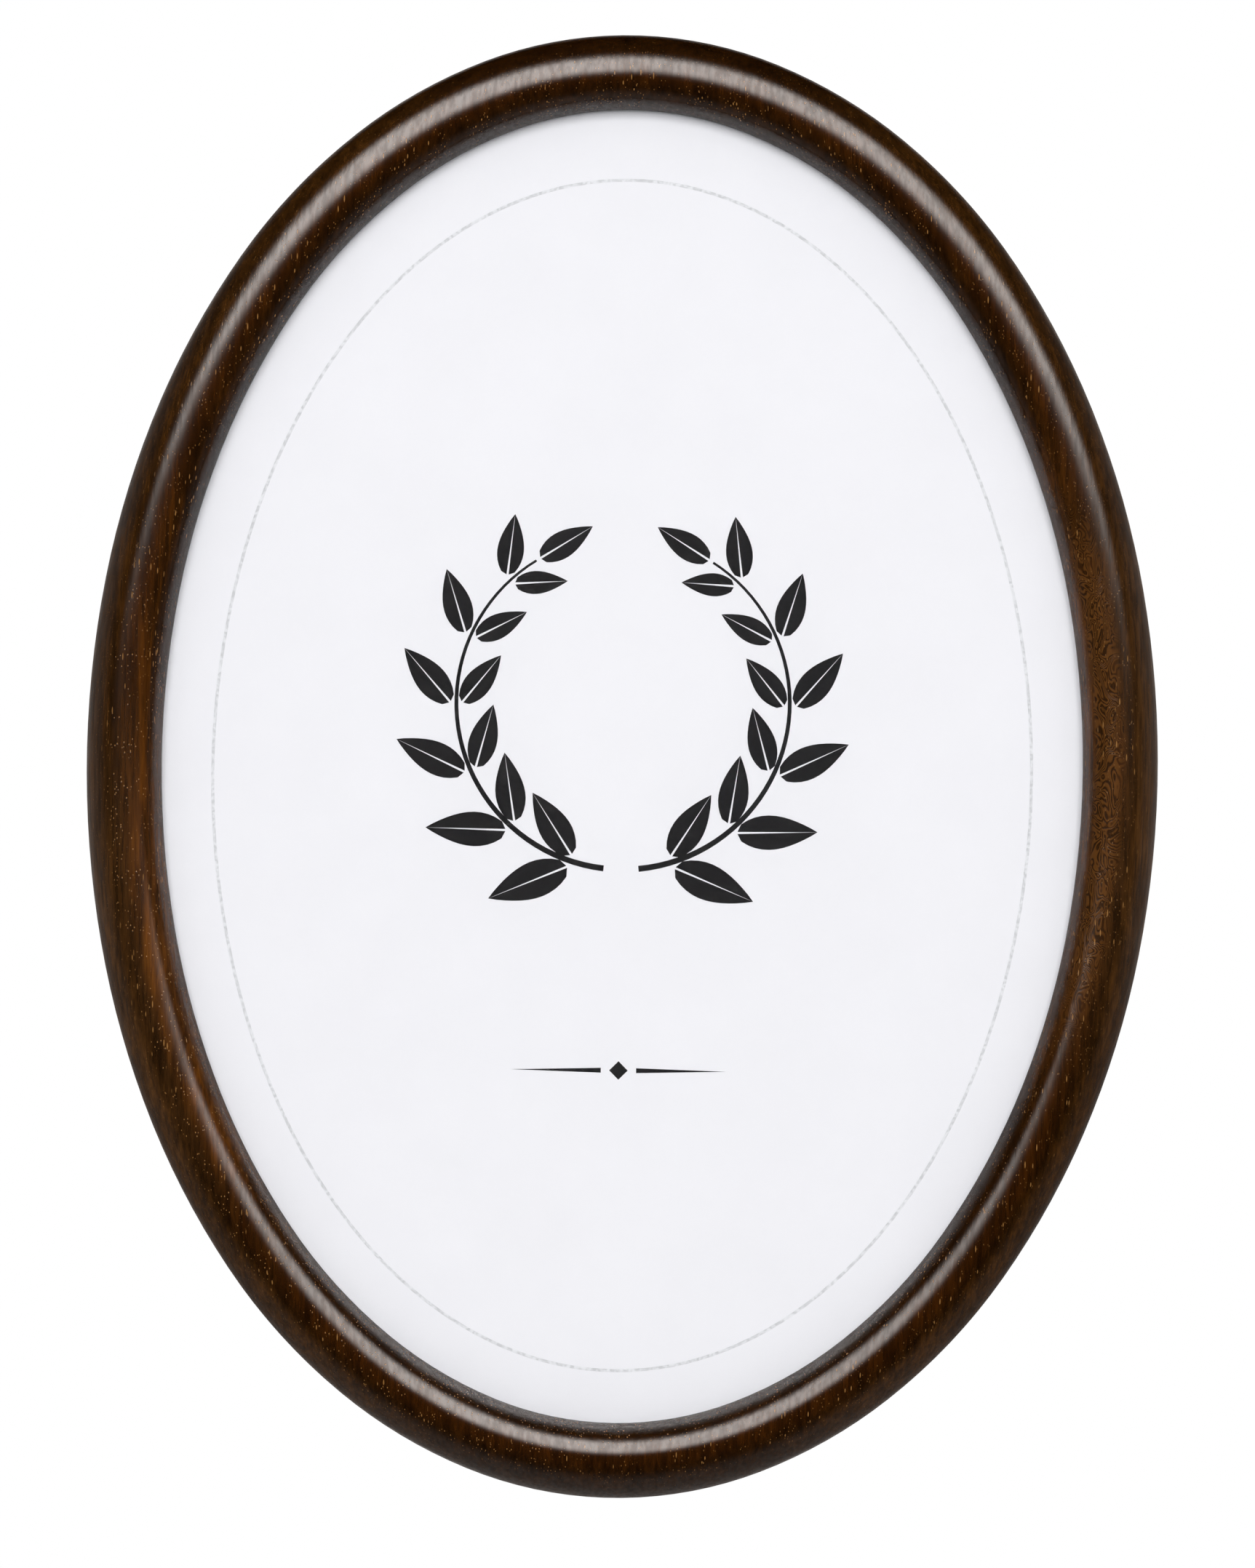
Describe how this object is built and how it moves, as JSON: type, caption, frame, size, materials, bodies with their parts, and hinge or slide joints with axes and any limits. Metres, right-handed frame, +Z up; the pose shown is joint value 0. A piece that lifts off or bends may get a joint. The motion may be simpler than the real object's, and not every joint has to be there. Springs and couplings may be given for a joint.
{
  "type": "oval picture frame",
  "caption": "Oval wall frame with a half-round dark walnut rim, glass, print, backboard, turn buttons and two folding hanger rings.",
  "frame": {"origin": "the point on the wall plane where the nail carries the upper hanger's ring", "axes": "+Z up along the oval's long axis, -Y the way the front faces, +X right as seen from the front"},
  "size_m": [0.2184, 0.0215, 0.2984],
  "materials": {
    "walnut_wood": "dark walnut stain under satin lacquer",
    "clear_glass": "clear float glass",
    "print_paper": "smooth coated white paper with a printed ornament",
    "grey_card": "uncoated grey board",
    "fibreboard": "smooth brown hardboard",
    "spring_steel": "zinc-plated spring steel",
    "nickel_rivet": "nickel-plated steel",
    "zinc_strap": "zinc-plated sheet steel",
    "steel_wire": "bright nickel-plated wire"
  },
  "bodies": {
    "frame": {"frame_top": "walnut_wood", "frame_bottom": "walnut_wood", "frame_left": "walnut_wood", "frame_right": "walnut_wood", "glass_pane": "clear_glass", "insert_print": "print_paper", "backing_card": "grey_card", "backboard": "fibreboard", "turn_button_rivets": "nickel_rivet", "hanger_rivets": "nickel_rivet", "portrait_hanger_strap": "zinc_strap", "landscape_hanger_strap": "zinc_strap"},
    "turn_button_1": {"turn_button_1": "spring_steel"},
    "turn_button_2": {"turn_button_2": "spring_steel"},
    "turn_button_3": {"turn_button_3": "spring_steel"},
    "turn_button_4": {"turn_button_4": "spring_steel"},
    "turn_button_5": {"turn_button_5": "spring_steel"},
    "turn_button_6": {"turn_button_6": "spring_steel"},
    "portrait_hanger_ring": {"portrait_hanger_ring": "steel_wire"},
    "landscape_hanger_ring": {"landscape_hanger_ring": "steel_wire"}
  },
  "joints": [
    {"name": "turn_button_1_turn", "type": "hinge", "parent": "frame", "child": "turn_button_1", "pos_m": [0.08873, -0.0045, -0.09727], "axis": [0, 1, 0], "continuous": true},
    {"name": "turn_button_2_turn", "type": "hinge", "parent": "frame", "child": "turn_button_2", "pos_m": [0.02307, -0.0045, -0.00426], "axis": [0, 1, 0], "continuous": true},
    {"name": "turn_button_3_turn", "type": "hinge", "parent": "frame", "child": "turn_button_3", "pos_m": [-0.0642, -0.0045, -0.03766], "axis": [0, 1, 0], "continuous": true},
    {"name": "turn_button_4_turn", "type": "hinge", "parent": "frame", "child": "turn_button_4", "pos_m": [-0.08873, -0.0045, -0.16673], "axis": [0, 1, 0], "continuous": true},
    {"name": "turn_button_5_turn", "type": "hinge", "parent": "frame", "child": "turn_button_5", "pos_m": [-0.02307, -0.0045, -0.25974], "axis": [0, 1, 0], "continuous": true},
    {"name": "turn_button_6_turn", "type": "hinge", "parent": "frame", "child": "turn_button_6", "pos_m": [0.0642, -0.0045, -0.22634], "axis": [0, 1, 0], "continuous": true},
    {"name": "portrait_ring_swing", "type": "hinge", "parent": "frame", "child": "portrait_hanger_ring", "pos_m": [0, -0.00312, -0.01185], "axis": [-1, 0, 0], "range_deg": [0, 175]},
    {"name": "landscape_ring_swing", "type": "hinge", "parent": "frame", "child": "landscape_hanger_ring", "pos_m": [-0.08015, -0.00312, -0.132], "axis": [0, 0, -1], "range_deg": [0, 175]}
  ]
}
